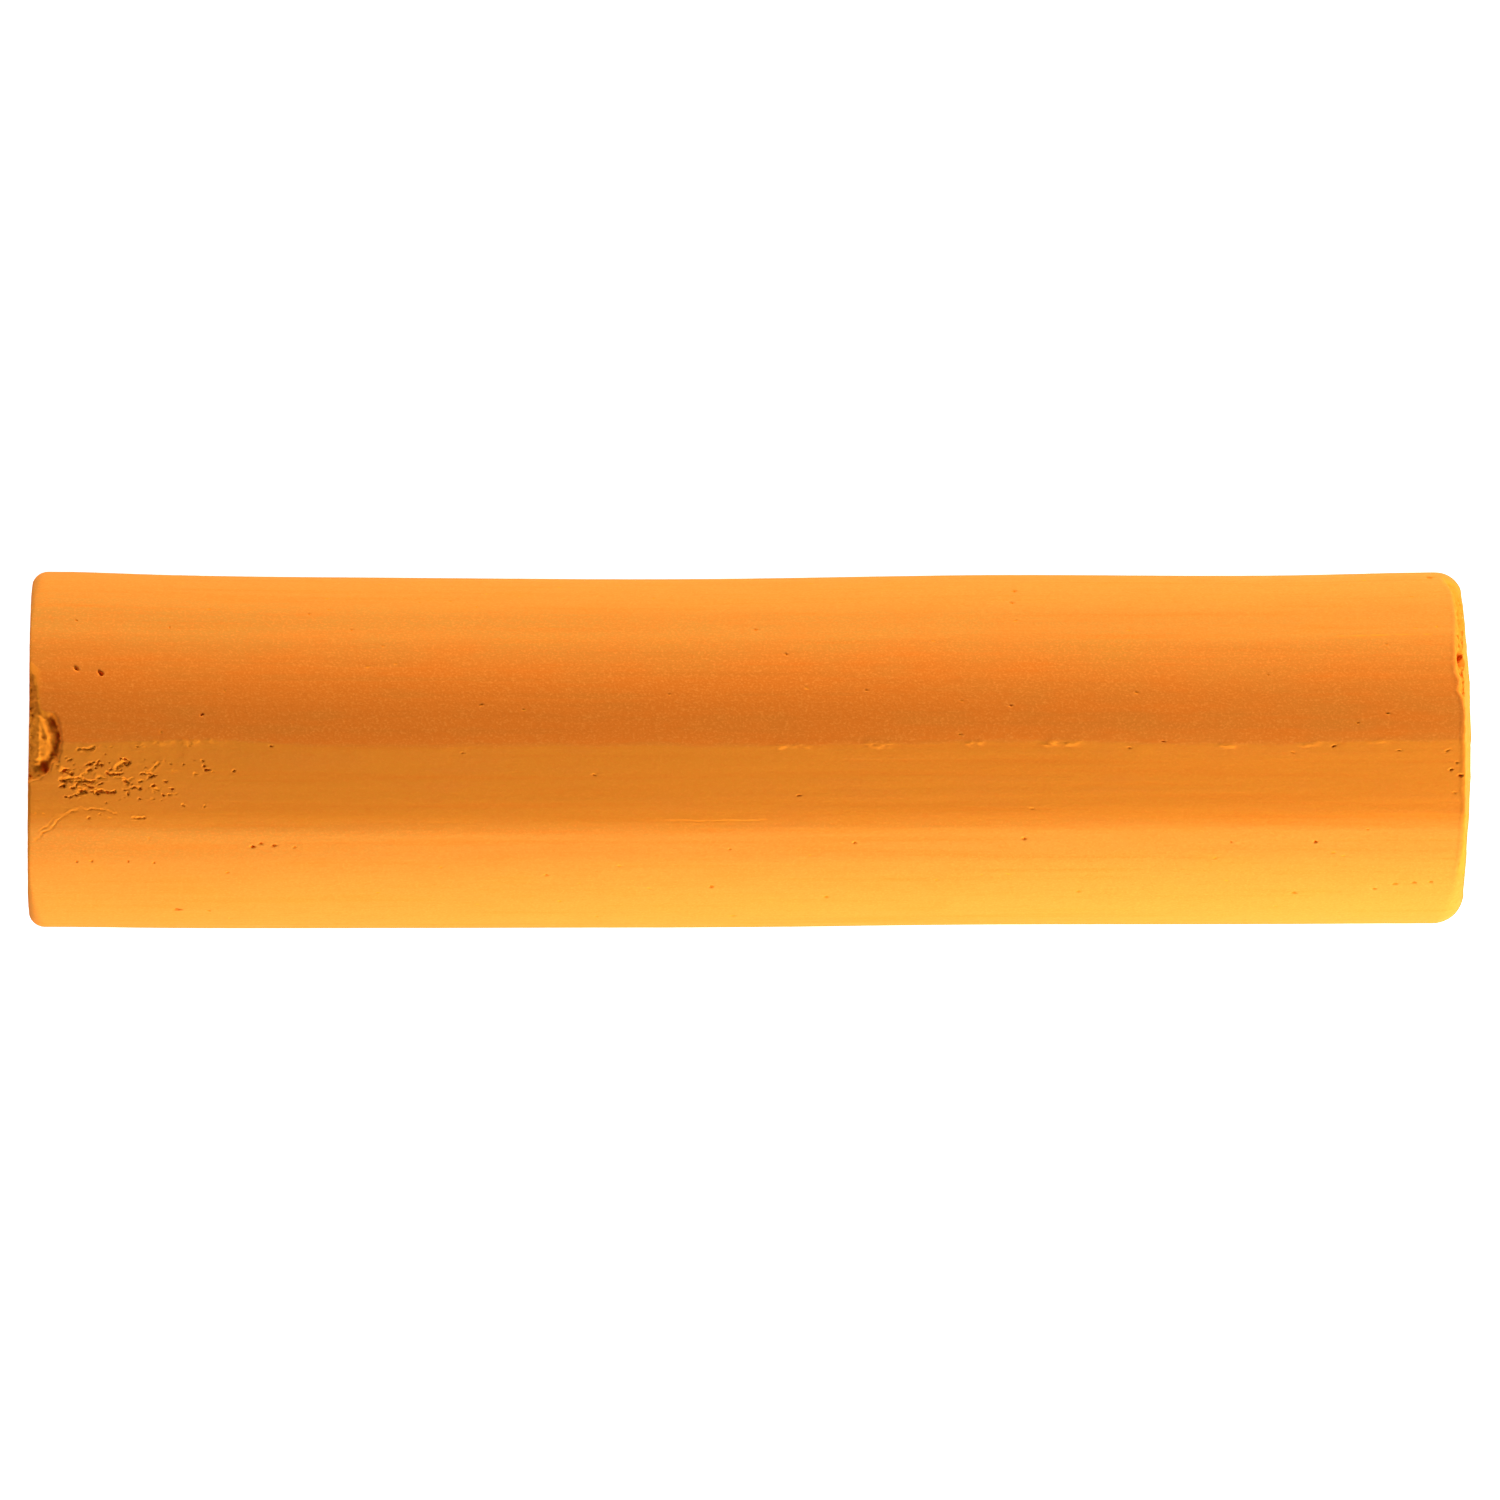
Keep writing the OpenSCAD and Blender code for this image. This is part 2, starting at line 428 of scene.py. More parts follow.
    def press(self, depth: np.ndarray, broken: np.ndarray, near: np.ndarray) -> None:
        """Pushes points in and marks the skin there as broken, or as painted shade in a deep hole.

        Args:
            depth: How far each point goes in, below zero where it comes out.
            broken: From 0 to 1: how broken the skin is up to 0.5, and above that how much painted hole
                shade it gets.
            near: The points that this is about.
        """
        self.depth[near] += depth
        self.break_and_shade[near] = np.maximum(self.break_and_shade[near], broken)

    def finished(self, axis_height: float) -> np.ndarray:
        """Where each point ends up.

        Args:
            axis_height: Height of the stick's axis above the surface that it lies on.

        Returns:
            One row of x, y and z for each point, in millimetres.
        """
        x = self.x - self.out_x * self.depth
        height = np.maximum(self.height - self.out_up * self.depth, 0.0)
        turn = np.radians(self.lean + self.form.wander(self.x, self.lean))
        y = self.form.bow(self.x) - height * np.sin(turn)
        x += self.form.end_skew * (y + self.form.end_radius) * smooth_step(self.from_end, 6.0, 0.0)
        z = np.maximum(axis_height + height * np.cos(turn), 0.0)
        return np.stack([x, y, z], axis=1)


class Patch(Protocol):
    """Anything that needs a finer mesh on a part of the skin."""

    def near(self, skin: Skin) -> np.ndarray:
        """Finds the points that need it.

        Args:
            skin: The skin.

        Returns:
            True for each such point.
        """


class Mark(Patch, Protocol):
    """Anything that shapes a part of the skin."""

    def shape(self, skin: Skin) -> None:
        """Shapes the skin."""


@dataclass(frozen=True)
class Pit:
    """A small hollow in the skin: an air hole, a tear or a chip.

    Attributes:
        from_end: Distance along the stick from the crumbled end.
        lean: Lean in degrees.
        length: Length, along the stick where turn is 0.
        width: Width.
        turn: How far its length is turned towards +Y, in degrees.
        depth: Depth.
        ragged: How uneven its outline is, as a share of its size.
        lip: How far the skin stands up round it, as a share of its depth.
        floor: How far out its flat floor reaches, from 0 for a bowl to 1 for a straight wall.
    """

    from_end: float
    lean: float
    length: float
    width: float
    turn: float
    depth: float
    ragged: float = 0.4
    lip: float = 0.0
    floor: float = 0.1

    def span(self, skin: Skin) -> np.ndarray:
        """Measures how far out from the pit's middle each point is.

        Args:
            skin: The skin.

        Returns:
            The distance, where 0 is the middle and 1 the outline.
        """
        along, across = skin.from_end - self.from_end, skin.across(self.lean)
        cosine, sine = math.cos(math.radians(self.turn)), math.sin(math.radians(self.turn))
        lengthwise = (along * cosine + across * sine) / (self.length / 2)
        widthwise = (across * cosine - along * sine) / (self.width / 2)
        return np.hypot(lengthwise, widthwise)

    def near(self, skin: Skin) -> np.ndarray:
        """Finds the points inside the pit and just round it.

        Args:
            skin: The skin.

        Returns:
            True for each such point.
        """
        margin_along, margin_across = 0.22, 0.08
        along, across = np.abs(skin.from_end - self.from_end), np.abs(skin.across(self.lean))
        half = max(self.length, self.width) / 2
        beside = (along < half + margin_along) & (across < half + margin_across)
        return beside & (skin.out_up > ON_SIDE)

    def shape(self, skin: Skin) -> None:
        """Pushes the pit in.

        Args:
            skin: The skin, which this changes.
        """
        near = (self.span(skin) < 1.4 + self.ragged * 2) & (skin.out_up > ON_SIDE)
        if not near.any():
            return
        places = skin.places()[near]
        seed = int(self.from_end * 10) + int(abs(self.lean) * 10)
        size = math.sqrt(self.width * self.length)
        wander = noise_at(places, size * 0.45, seed=seed, octaves=3)
        span = self.span(skin)[near] + self.ragged * wander
        brim = 1.05
        inside = smooth_step(span, brim, self.floor)
        uneven = 1.0 + 0.6 * noise_at(places, size * 0.3, seed=seed + 1, octaves=2)
        rise = smooth_step(np.abs(span - brim), 0.35, 0.0)
        rise *= 0.5 + noise_at(places, size * 0.5, seed=seed + 2)
        deep = (inside * uneven - self.lip * rise) * self.depth
        # Painted shade: past 0.5 the mark grows with the pit's depth, which darkens deep pits.
        skin.press(deep, 0.5 * smooth_step(span, 1.0, 0.6) + 0.4 * smooth_step(deep, 0.05, 0.18), near)


@dataclass(frozen=True)
class Crack:
    """A thin crack along a bent line on the skin.

    Attributes:
        turns: Its corners, as distance from the crumbled end and lean.
        width: Width.
        depth: Depth.
    """

    turns: tuple[tuple[float, float], ...]
    width: float
    depth: float

    def distance(self, skin: Skin) -> tuple[np.ndarray, np.ndarray]:
        """Measures how far each point is from the crack's line.

        Args:
            skin: The skin.

        Returns:
            The distance, and which side of the line the point is on, as 1 towards +Y or -1.
        """
        radius = skin.form.end_radius
        spot = np.stack([skin.from_end, -np.radians(skin.lean) * radius], axis=1)
        least, side = np.full(len(spot), FAR), np.ones(len(spot))
        for (x0, lean0), (x1, lean1) in zip(self.turns, self.turns[1:]):
            start = np.array([x0, -math.radians(lean0) * radius])
            run = np.array([x1, -math.radians(lean1) * radius]) - start
            share = np.clip((spot - start) @ run / (run @ run), 0.0, 1.0)
            off = spot - start - share[:, None] * run
            gap = np.hypot(off[:, 0], off[:, 1])
            closer = gap < least
            least = np.where(closer, gap, least)
            side = np.where(closer, np.sign(run[0] * off[:, 1] - run[1] * off[:, 0]), side)
        return least, side

    def near(self, skin: Skin) -> np.ndarray:
        """The points on the crack and just beside it."""
        return (self.distance(skin)[0] < self.width) & (skin.out_up > ON_SIDE)

    def shape(self, skin: Skin) -> None:
        """Cuts the crack, with one lip a little raised.

        Args:
            skin: The skin, which this changes.
        """
        gap, side = self.distance(skin)
        near = (gap < self.width * 3) & (skin.out_up > ON_SIDE)
        places = skin.places()[near]
        wander = noise_at(places, 0.4, seed=5, octaves=4)
        gap = np.abs(gap[near] * side[near] + 1.3 * self.width * wander)
        groove = smooth_step(gap, self.width * 0.7, 0.0) * (0.7 + 0.6 * noise_at(places, 0.4, seed=6))
        lip = smooth_step(gap, self.width * 2.0, self.width * 0.7) * (side[near] > 0)
        lip *= np.clip(0.5 + noise_at(places, 0.3, seed=7, octaves=2), 0.0, 1.0)
        skin.press(self.depth * (groove - 0.4 * lip), 0.5 * groove, near)


@dataclass(frozen=True)
class CrumbPatch:
    """A patch where the skin has flaked away in many small crumbs.

    Attributes:
        start: Where it starts, from the crumbled end.
        end: Where the crumbs have died out.
        lean: Lean of its middle line.
        width: Width.
        lump: Size of a crumb.
        depth: Depth of the deepest crumbs.
        share: How much of the skin is gone where the patch is strongest, from 0 to 1.
    """

    start: float
    end: float
    lean: float
    width: float
    lump: float
    depth: float
    share: float

    def near(self, skin: Skin) -> np.ndarray:
        """The points of the patch."""
        inside = (skin.from_end > self.start) & (skin.from_end < self.end)
        return inside & (np.abs(skin.across(self.lean)) < self.width / 2) & (skin.out_up > 0.5)

    def shape(self, skin: Skin) -> None:
        """Flakes the crumbs away.

        Args:
            skin: The skin, which this changes.
        """
        near = self.near(skin)
        along = (skin.from_end[near] - self.start) / (self.end - self.start)
        across = np.abs(skin.across(self.lean)[near]) / (self.width / 2)
        strength = smooth_step(along, 1.0, 0.1) * smooth_step(along, 0.0, 0.06)
        strength *= smooth_step(across, 1.0, 0.5)
        places = skin.places()[near]
        crumbs = noise_at(places, (self.lump * 1.6, self.lump * 0.8, self.lump), seed=31, octaves=4)
        limit = 0.75 - 0.9 * self.share * strength
        gone = smooth_step(crumbs, limit, limit + 0.25) * (strength > 0.02)
        rough = 1.0 + 0.7 * noise_at(places, self.lump * 0.4, seed=33, octaves=2)
        skin.press(gone * rough * self.depth, 0.5 * gone, near)


@dataclass(frozen=True)
class Burr:
    """A ragged scrap of the lip that stands up along the crease.

    Attributes:
        start: Where it starts, from the crumbled end.
        end: Where it ends.
        rise: How far it stands up.
        breadth: How far it reaches from the crease towards -Y. Towards +Y it reaches half as far.
    """

    start: float
    end: float
    rise: float
    breadth: float = 0.3

    def near(self, skin: Skin) -> np.ndarray:
        """Finds the points under the scrap.

        Args:
            skin: The skin.

        Returns:
            True for each such point.
        """
        inside = (skin.from_end > self.start) & (skin.from_end < self.end)
        off = skin.across(skin.form.crease_lean)
        return inside & (off < 0.5 * self.breadth) & (off > -self.breadth) & (skin.out_up > 0.9)

    def shape(self, skin: Skin) -> None:
        """Raises the scrap.

        Args:
            skin: The skin, which this changes.
        """
        near = self.near(skin)
        middle, half = (self.start + self.end) / 2, (self.end - self.start) / 2
        along = np.abs(skin.from_end[near] - middle) / half
        off = skin.across(skin.form.crease_lean)[near] + 0.2 * self.breadth
        body = smooth_step(along, 1.0, 0.6) * smooth_step(np.abs(off), 0.7 * self.breadth, 0.0)
        rag = 0.35 + 1.1 * noise_at(skin.places()[near], (0.3, 0.2, 0.2), seed=47, octaves=3)
        raised = body * np.clip(rag, 0.0, 1.4)
        skin.press(-self.rise * raised, 0.3 * np.clip(raised, 0.0, 1.0), near)


@dataclass(frozen=True)
class WornRim:
    """The sound end's worn edge, where the skin stops at a wavy lip and the bare body shows.

    Attributes:
        lip: How far the lip stands up.
        rough: How rough the bare body is.
    """

    lip: float = 0.02
    rough: float = 0.03

    def near(self, skin: Skin) -> np.ndarray:
        """Finds the points along the lip, on the side that shows most.

        Args:
            skin: The skin.

        Returns:
            True for each such point.
        """
        reach, middle_lean, half_arc = 1.1, -8.0, 56.0
        inset = 2 * skin.form.half_length - skin.from_end
        edge = (inset < reach) & (skin.out_up > 0.05) & (skin.out_x >= 0.0)
        return edge & (np.abs(skin.lean - middle_lean) < half_arc)

    def shape(self, skin: Skin) -> None:
        """Raises the lip and roughens what is bare.

        Args:
            skin: The skin, which this changes.
        """
        near = skin.from_end > 2 * skin.form.half_length - 2.0
        places = skin.places()[near]
        inset = 2 * skin.form.half_length - skin.from_end[near]
        line = skin.form.rim(skin.lean[near])[0] + skin.form.sound_dome
        line = line + 0.06 * noise_at(places, 0.9, seed=61, octaves=2)
        lean = skin.lean[near]
        line += 0.05 * noise_at(places, 0.25, seed=63, octaves=3) * smooth_step(lean, -5.0, -15.0)
        seen = smooth_step(lean, -80.0, -70.0) * smooth_step(lean, 50.0, 40.0)
        seen *= smooth_step(skin.height[near], 0.78 * skin.form.end_radius, 0.9 * skin.form.end_radius)
        bare = smooth_step(inset, line, line - 0.06) * seen
        lip = smooth_step(np.abs(inset - line - 0.06), 0.12, 0.0) * (skin.out_x[near] < 0.9)
        rough = noise_at(places, 0.3, seed=67, octaves=4)
        chipped = smooth_step(inset, line - 0.1, line - 0.22) * smooth_step(lean, -2.0, -15.0) * seen
        depth = self.rough * rough * (bare + 2.0 * chipped) - self.lip * lip * seen + 0.08 * chipped
        # Painted shade: the chipped, recessed zone's mark goes past 0.5, which darkens it.
        skin.press(depth, 0.3 * bare + 0.3 * chipped + 0.3 * chipped * smooth_step(rough, 0.2, 0.6), near)


@dataclass(frozen=True)
class Grain:
    """The unevenness of the whole skin.

    Attributes:
        dents: Depth of the shallow dents that handling leaves.
        drag: Depth of the fine lines along the stick.
        tooth: Depth of the powdery tooth.
        ends: Depth of the roughness of the crumbled and of the sound end face.
    """

    dents: float = 0.02
    drag: float = 0.006
    tooth: float = 0.004
    ends: tuple[float, float] = (0.09, 0.055)

    def near(self, skin: Skin) -> np.ndarray:
        """No points, because the grain needs no finer mesh."""
        return np.zeros(len(skin.path), bool)

    def shape(self, skin: Skin) -> None:
        """Adds the dents, lines and tooth, and roughens the end faces.

        Args:
            skin: The skin, which this changes.
        """
        everywhere = np.ones(len(skin.path), bool)
        places = skin.places()
        depth = self.dents * noise_at(places, (9.0, 4.0, 4.0), seed=71)
        depth += self.drag * noise_at(places, (14.0, 0.35, 0.35), seed=73, octaves=2)
        depth += self.tooth * noise_at(places, (0.5, 0.3, 0.3), seed=79, octaves=2)
        ends = np.where(skin.out_x < 0.0, *self.ends) * np.abs(skin.out_x)
        ends *= smooth_step(skin.form.end_radius - skin.height, 0.3, 1.2)
        flakes = smooth_step(noise_at(places, 1.8, seed=83, octaves=3), 0.1, 0.3)
        holes = smooth_step(noise_at(places, 0.8, seed=85, octaves=2), 0.45, 0.6)
        depth += ends * (1.0 + 0.8 * noise_at(places, 1.2, seed=81, octaves=4) + 0.8 * flakes + 1.5 * holes)
        # Painted shade: where holes are, the end faces' mark goes past 0.5, which darkens them.
        skin.press(depth, smooth_step(ends, 0.0, 0.06) * (0.2 + 0.2 * flakes + 0.3 * holes), everywhere)


@dataclass(frozen=True)
class CrumbledHollow:
    """The hollow broken out of the end, cut down from above.

    Attributes:
        outline: Its corners, as distance from the end and distance towards +Y.
        depths: Places along the stick and its depth there.
        walls: How wide its steep wall is, seen from above, near the end and far from it.
        dips: Deeper spots: their middle, half their size both ways and their depth.
        squeeze: How thick the layer under the floor is into which the end face's edge is pressed.
    """

    outline: tuple[tuple[float, float], ...] = (
        (-0.5, 3.6), (0.08, 3.5), (0.39, 3.15), (0.54, 2.58), (0.64, 1.85), (0.89, 1.68),
        (1.23, 1.67), (1.38, 1.36), (1.5, 0.79), (1.54, 0.37), (1.49, -0.08), (1.4, -0.53),
        (1.15, -0.58), (1.04, -0.9), (0.89, -1.04), (0.51, -1.3), (-0.5, -1.5),
    )
    depths: tuple[tuple[float, float], ...] = (
        (0.0, 0.58), (0.25, 0.34), (0.5, 0.07), (0.75, 0.13), (1.0, 0.2), (1.25, 0.27), (1.6, 0.3),
    )
    walls: tuple[float, float] = (0.12, 0.2)
    dips: tuple[tuple[float, float, float, float, float], ...] = (
        (1.36, 0.35, 0.2, 0.8, 0.08),
        (0.66, -0.75, 0.4, 0.5, 0.24),
    )
    squeeze: float = 0.15

    def inside(self, x: np.ndarray, y: np.ndarray) -> np.ndarray:
        """How far each point lies inside the outline, below zero outside it.

        Args:
            x: Distance from the end.
            y: Distance towards +Y.

        Returns:
            The distance in millimetres.
        """
        gap, crossings = np.full(len(x), FAR), np.zeros(len(x), int)
        spots = np.stack([x, y], axis=1)
        for start, end in zip(self.outline, (*self.outline[1:], self.outline[0])):
            a, run = np.array(start), np.array(end) - np.array(start)
            share = np.clip((spots - a) @ run / (run @ run), 0.0, 1.0)
            off = spots - a - share[:, None] * run
            gap = np.minimum(gap, np.hypot(off[:, 0], off[:, 1]))
            spans = (start[1] > y) != (end[1] > y)
            if run[1]:
                crossings += spans & (x < a[0] + (y - a[1]) * run[0] / run[1])
        return np.where(crossings % 2 == 1, gap, -gap)

    def near(self, skin: Skin) -> np.ndarray:
        """Finds the points in and round the hollow.

        Args:
            skin: The skin.

        Returns:
            True for each such point.
        """
        margin, reach = 0.2, 2.0
        places = skin.places()
        inside = self.inside(skin.from_end, places[:, 1])
        on_top = places[:, 2] > 0.8 * skin.form.end_radius
        return (inside > -margin) & on_top & (skin.from_end < reach)

    def cut(self, places: np.ndarray, skin: Skin, axis_height: float) -> None:
        """Lowers every point that stands above the hollow's floor.

        Args:
            places: One row of x, y and z for each finished point, which this changes.
            skin: The skin, whose broken marks this changes.
            axis_height: Height of the stick's axis.
        """
        near = np.flatnonzero(self.near(skin))
        spots = places[near]
        from_end = spots[:, 0] + skin.form.half_length
        edge = self.inside(from_end, spots[:, 1])
        flat = spots * (1.0, 1.0, 0.0)
        edge = edge + 0.07 * noise_at(flat, 0.3, seed=83, octaves=3)
        deep = np.interp(from_end, *zip(*self.depths))
        for x, y, half_x, half_y, depth in self.dips:
            off = np.hypot((from_end - x) / half_x, (spots[:, 1] - y) / half_y)
            deep += depth * smooth_step(off, 1.1, 0.1)
        slant = np.stack([flat[:, 0] + 0.35 * flat[:, 1], flat[:, 1], flat[:, 2]], axis=1)
        deep *= 1.0 + 0.45 * noise_at(slant, (0.3, 0.8, 1.0), seed=89, octaves=2)
        outer = smooth_step(from_end, 0.7, 0.4) * smooth_step(spots[:, 1], 1.3, 1.8)
        rough = 0.03 + 0.05 * smooth_step(from_end, 0.7, 0.3) + 0.03 * outer
        deep += rough * noise_at(flat, 0.2, seed=97, octaves=3)
        deep += 0.03 * noise_at(flat, (0.5, 0.16, 1.0), seed=99, octaves=2)
        near_wall, far_wall = self.walls
        wall = near_wall + (far_wall - near_wall) * smooth_step(from_end, 0.7, 1.2)
        wall += 0.25 * smooth_step(spots[:, 1], 1.0, 1.6)
        deep *= smooth_step(edge / wall, 0.0, 1.0)
        lean = np.degrees(np.arcsin(np.clip(-spots[:, 1] / skin.form.end_radius, -1.0, 1.0)))
        top = skin.form.height(np.maximum(spots[:, 0], 1.0 - skin.form.half_length), lean)
        level = axis_height + top * np.cos(np.radians(lean))
        deep = np.maximum(deep, 0.0)
        below = level - spots[:, 2]
        gone = (edge > 0.0) & (below < deep + self.squeeze)
        lowered = level - deep - self.squeeze * below / (deep + self.squeeze)
        places[near[gone], 2] = lowered[gone]
        # Painted shade: deep parts of the hollow and its rough zone near the end face towards +Y go past
        # 0.5, which darkens them.
        broken = 0.5 * smooth_step(edge, 0.03, 0.15) + 0.35 * smooth_step(deep, 0.3, 0.7) + 0.3 * outer
        skin.break_and_shade[near] = np.maximum(skin.break_and_shade[near], broken)


# ---------------------------------------------------------------- the mesh


@dataclass
class Layout:
    """How the skin is cut into steps before it is rolled up.

    Attributes:
        form: The stick's form.
    """

    form: StickForm

    @property
    def path_ends(self) -> tuple[float, ...]:
        """Where the end, its edge, the side, the sound edge and the dome stop, along the path.

        Returns:
            The five places, in rising order.
        """
        form = self.form
        quarter = math.pi / 2
        cap = form.end_radius - form.crumbled_edge
        edge = cap + quarter * form.crumbled_edge
        side_length = 2 * form.half_length - form.crumbled_edge - form.sound_dome - form.sound_edge
        side = edge + side_length
        rim = side + quarter * form.sound_edge
        return cap, edge, side, rim, rim + form.end_radius - form.sound_edge

    def along(self) -> list[Stretch]:
        """Stretches along the path, finer where the stick is torn or worn.

        Returns:
            The stretches, from the crumbled end's middle to the sound end's.
        """
        cap, edge, side, rim, dome = self.path_ends
        torn, sound_side = 8.3, 1.2
        outer_cap, outer_dome = 1.6, 1.0
        return [
            Stretch(cap - outer_cap, 22),
            Stretch(outer_cap, 14),
            Stretch(edge - cap, 8),
            Stretch(torn, 66),
            Stretch(side - edge - torn - sound_side, 100),
            Stretch(sound_side, 10),
            Stretch(rim - side, 12),
            Stretch(outer_dome, 6),
            Stretch(dome - rim - outer_dome, 12),
        ]

    def around(self) -> list[Stretch]:
        """Stretches round the stick in degrees, from underneath past +Y to underneath again.

        One line of points lies along the crisp crease.

        Returns:
            The stretches, in order.
        """
        crease = self.form.crease_lean
        return [
            Stretch(100.0, 15),
            Stretch(52.0, 30),
            Stretch(28.0 + crease, 22),
            Stretch(29.0 - crease, 38),
            Stretch(51.0, 30),
            Stretch(100.0, 15),
        ]

    @staticmethod
    def spread(share: np.ndarray, stretches: Sequence[Stretch], start: float) -> np.ndarray:
        """Turns even shares of a side of the sheet into places.

        Args:
            share: Places on the even sheet, from 0 to 1.
            stretches: The stretches of that side.
            start: Where the first stretch starts.

        Returns:
            The places along the stretches.
        """
        counts = np.cumsum([0, *(s.steps for s in stretches)])
        ends = np.cumsum([start, *(s.length for s in stretches)])
        return np.interp(share * counts[-1], counts, ends)


@dataclass
class PastelStick:
    """The stick as one closed mesh, pressed, torn, pitted and worn.

    Attributes:
        half_length: Half its length in millimetres.
        end_radius: Its radius at the ends.
        top: Height of its highest point above the surface that it lies on.
        small_pits: How many small air pits are scattered over it.
        form: Its form.
        axis_height: Height of its axis above that surface.
    """

    half_length: float
    end_radius: float
    top: float
    small_pits: int = 96
    form: StickForm = field(init=False)
    axis_height: float = field(init=False)

    def __post_init__(self) -> None:
        """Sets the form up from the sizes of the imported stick."""
        self.form = StickForm(self.half_length, self.end_radius)
        self.axis_height = self.top - self.end_radius * math.cos(math.radians(self.form.crease_lean))

    def tears(self) -> list[Mark]:
        """The tears, chips and cracks, most of them in the strip near the crumbled end.

        Returns:
            The marks, in the order in which they shape the skin.
        """
        depth_share = 0.42
        # Each row is a pit's distance from the end, lean, length, width, turn and depth.
        cuts = (
            (2.15, -0.3, 0.42, 0.2, 25, 0.06), (2.62, -0.7, 0.72, 0.22, 12, 0.11),
            (3.55, -0.9, 0.25, 0.12, 0, 0.05), (4.7, -1.0, 0.4, 0.14, 8, 0.06),
            (5.0, -0.8, 0.2, 0.1, 0, 0.04), (6.95, -0.9, 0.3, 0.14, 20, 0.05),
            (3.95, 5.0, 0.75, 0.34, 32, 0.1), (3.8, 5.9, 0.34, 0.3, 0, 0.07),
            (5.5, 5.2, 0.55, 0.2, 45, 0.07), (5.3, 6.4, 0.3, 0.16, 30, 0.05),
            (1.5, 6.6, 0.36, 0.34, -40, 0.12), (1.25, 5.4, 0.3, 0.24, 0, 0.06),
            (2.25, 13.6, 0.34, 0.4, 20, 0.14), (2.1, 12.0, 0.3, 0.3, 0, 0.07),
            (3.0, 13.2, 0.5, 0.22, -8, 0.1), (2.6, 10.4, 1.05, 0.2, -4, 0.08),
            (2.5, 7.7, 0.6, 0.2, 25, 0.07), (3.1, 8.9, 0.6, 0.24, -10, 0.08),
            (3.95, 9.0, 0.5, 0.18, -12, 0.05), (4.35, 9.4, 0.6, 0.2, 25, 0.06),
            (4.9, 9.6, 0.4, 0.16, -20, 0.04), (5.45, 12.5, 0.5, 0.24, -8, 0.08),
            (6.1, 14.2, 0.6, 0.16, 2, 0.07), (5.4, 15.8, 0.44, 0.12, 4, 0.05),
            (6.9, 14.3, 0.12, 0.12, 0, 0.05), (4.8, 22.2, 0.62, 0.2, 4, 0.1),
            (6.65, 17.8, 0.24, 0.18, 0, 0.08), (7.55, 18.2, 0.34, 0.16, 45, 0.06),
            (6.3, 6.6, 0.3, 0.1, 0, 0.04), (7.2, 7.3, 0.3, 0.16, 10, 0.06),
            (7.9, 6.8, 0.3, 0.12, 20, 0.04), (0.65, 21.2, 0.2, 0.16, 0, 0.06),
            (0.3, 21.0, 0.16, 0.12, 0, 0.05), (3.1, 21.2, 0.2, 0.12, 0, 0.05),
            (3.5, 22.2, 0.2, 0.12, 0, 0.04),
        )
        long_crack = (
            (0.3, 30.2), (0.6, 28.3), (1.3, 23.6), (1.9, 20.2), (2.8, 19.4), (3.2, 19.6), (3.8, 21.0),
        )
        return [
            *(Pit(*cut[:5], depth_share * cut[5], ragged=0.7, lip=0.5) for cut in cuts),
            Crack(long_crack, 0.09, 0.04),
            Crack(((0.5, 27.0), (1.1, 23.2), (1.7, 20.6), (2.3, 19.0)), 0.08, 0.03),
            Crack(((27.3, 22.6), (29.0, 22.9), (31.4, 22.7)), 0.06, 0.025),
            Crack(((55.7, -40.3), (58.0, -40.0), (59.8, -40.2)), 0.06, 0.03),
            CrumbPatch(1.2, 9.0, 9.0, 2.3, 0.26, 0.06, 0.8),
        ]

    def air_pits(self) -> list[Mark]:
        """The larger air pits, and smaller ones scattered by a seeded draw.

        Returns:
            The larger pits, then the small ones.
        """
